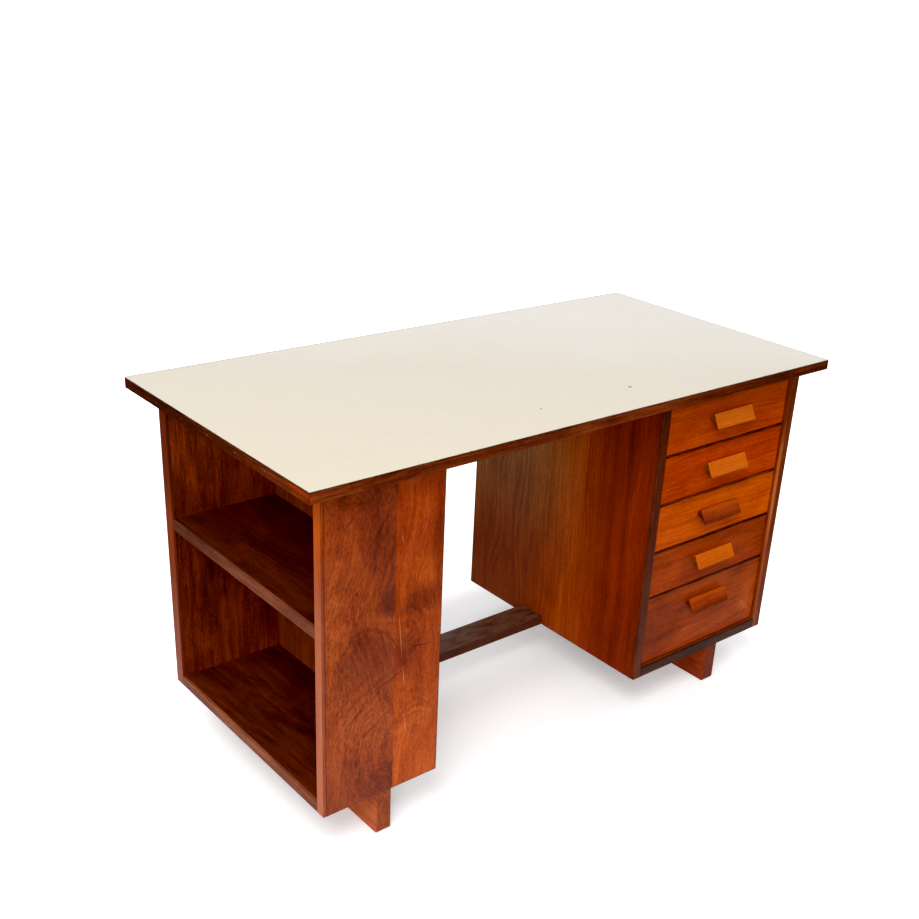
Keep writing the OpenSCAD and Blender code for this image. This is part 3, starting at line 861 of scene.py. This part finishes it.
for seed, (name, node) in enumerate(sorted(NODES.items()), start=1):
    low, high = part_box(name)
    if name == "top_laminate":
        dress(node, laminate("cream_laminate", low, high))
        soften(node, LAMINATE_BEVEL)
    elif name in METAL_NODES:
        dress(node, steel("tarnished_" + name))
    else:
        timber, grain, width = looks_of(name)
        rim_box = WHOLE_FRONT if name in FRONT_BOARDS else None
        dress(node, wood("wood_" + name, timber, low, high, grain, seed, PAINT.get(name), rim_box))
        soften(node, width)


# ---- Studio ----

FLOOR_RADIUS = 40.0
FLOOR_SIDES = 96
WORLD_HORIZON = 0.22
WORLD_ABOVE = 0.85
WORLD_BEHIND = 0.35
WORLD_SEEN = 1.05
LIGHT_TARGET = Vector((0.0, 0.0, 0.4))
LIGHTS = {
    "key": {"place": (-4.0, -3.4, 6.5), "size": 3.5, "power": 252.0, "colour": (1.0, 0.98, 0.95)},
    "front": {"place": (-3.0, -4.0, 1.9), "size": 2.4, "power": 110.0, "colour": (1.0, 0.99, 0.97)},
}
CAMERA_PLACE = Vector((-1.5671, -1.7927, 1.5168))
CAMERA_YAW = math.radians(41.40)
CAMERA_PITCH = math.radians(-25.68)
CAMERA_ROLL = math.radians(3.34)
CAMERA_SENSOR = 36.0
CAMERA_LENS = 47.64
CAMERA_SHIFT = (-0.0399, 0.0870)
CAMERA_CLIP = (0.05, 200.0)
BLACK_LEVEL = 0.004


def studio_white(name, half_x, half_y):
    """Pale floor that fades into the white surroundings away from the desk. The lacquer mirrors
    it as white near the desk and dim further out, as a lit sheet of paper in a dim room does."""
    graph = Graph(name)
    place = graph.place()
    axes = graph.split(place)
    beyond = []
    for axis, half in (("X", half_x), ("Y", half_y)):
        outside = graph.math("SUBTRACT", graph.math("ABSOLUTE", axes[axis]), half)
        beyond.append(graph.math("MAXIMUM", outside, 0.0))
    away = graph.vector("LENGTH", graph.join(*beyond, 0.0), output="Value")
    grain = graph.noise(place, 60.0, 3.0)
    lit = graph.mix(graph.step(grain, 0.3, 0.7), tone(242, 242, 244), tone(248, 248, 249))
    mirrored = graph.mix(graph.step(away, 0.08, 0.75), tone(196, 196, 199), tone(38, 38, 40))
    seen = graph.add("LightPath", {}).outputs["Is Camera Ray"]
    glow = graph.math("ADD", graph.step(away, 0.0, 0.14, 0.28, 0.75),
                      graph.step(away, 1.0, 2.5, 0.0, 0.5))
    return graph.surface(Base_Color=graph.mix(seen, mirrored, lit), Roughness=0.85,
                         Specular_IOR_Level=0.1, Emission_Color=(1, 1, 1, 1),
                         Emission_Strength=graph.math("MULTIPLY", glow, seen))


def make_floor():
    mesh = bpy.data.meshes.new("floor")
    shape = bmesh.new()
    bmesh.ops.create_circle(shape, cap_ends=True, segments=FLOOR_SIDES, radius=FLOOR_RADIUS)
    shape.to_mesh(mesh)
    shape.free()
    floor = bpy.data.objects.new("floor", mesh)
    bpy.context.scene.collection.objects.link(floor)
    mesh.materials.append(studio_white("studio_floor", cad_box[1].x, cad_box[1].y))


def make_world():
    """White for the camera. What lights the desk is dimmer at the horizon, and brighter above and
    behind."""
    world = bpy.data.worlds.new("studio")
    world.use_nodes = True
    bpy.context.scene.world = world
    nodes = world.node_tree.nodes
    link = world.node_tree.links.new
    nodes.clear()
    axes = nodes.new("ShaderNodeSeparateXYZ")
    link(nodes.new("ShaderNodeTexCoord").outputs["Generated"], axes.inputs[0])
    above = nodes.new("ShaderNodeMapRange")
    for key, value in (("From Min", 0.0), ("From Max", 0.7), ("To Min", WORLD_HORIZON),
                       ("To Max", WORLD_ABOVE)):
        above.inputs[key].default_value = value
    link(axes.outputs["Z"], above.inputs["Value"])
    behind = nodes.new("ShaderNodeMath")
    behind.operation = "MAXIMUM"
    behind.inputs[1].default_value = 0.0
    link(axes.outputs["Y"], behind.inputs[0])
    lighting = nodes.new("ShaderNodeMath")
    lighting.operation = "MULTIPLY_ADD"
    lighting.inputs[1].default_value = WORLD_BEHIND
    link(behind.outputs[0], lighting.inputs[0])
    link(above.outputs["Result"], lighting.inputs[2])
    strength = nodes.new("ShaderNodeMix")
    strength.inputs["B"].default_value = WORLD_SEEN
    link(nodes.new("ShaderNodeLightPath").outputs["Is Camera Ray"], strength.inputs["Factor"])
    link(lighting.outputs[0], strength.inputs["A"])
    background = nodes.new("ShaderNodeBackground")
    background.inputs["Color"].default_value = (1.0, 1.0, 1.0, 1.0)
    link(strength.outputs["Result"], background.inputs["Strength"])
    link(background.outputs[0], nodes.new("ShaderNodeOutputWorld").inputs[0])


def area_light(name, place, size, power, colour):
    data = bpy.data.lights.new(name, "AREA")
    data.shape = "DISK"
    data.size = size
    data.energy = power
    data.color = colour
    lamp = bpy.data.objects.new(name, data)
    lamp.location = place
    lamp.rotation_euler = (LIGHT_TARGET - Vector(place)).to_track_quat("-Z", "Y").to_euler()
    bpy.context.scene.collection.objects.link(lamp)


def make_camera():
    """Camera that looks along +Y turned by the yaw towards +X, tipped by the pitch, then rolled."""
    data = bpy.data.cameras.new("camera")
    data.sensor_width = CAMERA_SENSOR
    data.lens = CAMERA_LENS
    data.shift_x, data.shift_y = CAMERA_SHIFT
    data.clip_start, data.clip_end = CAMERA_CLIP
    camera = bpy.data.objects.new("camera", data)
    ahead = Vector((math.sin(CAMERA_YAW) * math.cos(CAMERA_PITCH),
                    math.cos(CAMERA_YAW) * math.cos(CAMERA_PITCH), math.sin(CAMERA_PITCH)))
    right = Vector((math.cos(CAMERA_YAW), -math.sin(CAMERA_YAW), 0.0))
    up = right.cross(ahead)
    rolled_right = math.cos(CAMERA_ROLL) * right + math.sin(CAMERA_ROLL) * up
    rolled_up = -math.sin(CAMERA_ROLL) * right + math.cos(CAMERA_ROLL) * up
    turn = Matrix((rolled_right, rolled_up, -ahead)).transposed()
    camera.matrix_world = Matrix.Translation(CAMERA_PLACE) @ turn.to_4x4()
    bpy.context.scene.collection.objects.link(camera)
    bpy.context.scene.camera = camera


make_floor()
make_world()
for name, settings in LIGHTS.items():
    area_light(name, **settings)
make_camera()
display = bpy.context.scene.view_settings
display.view_transform = "Standard"
display.look = "None"
display.use_curve_mapping = True
display.curve_mapping.black_level = (BLACK_LEVEL, BLACK_LEVEL, BLACK_LEVEL)
display.curve_mapping.update()
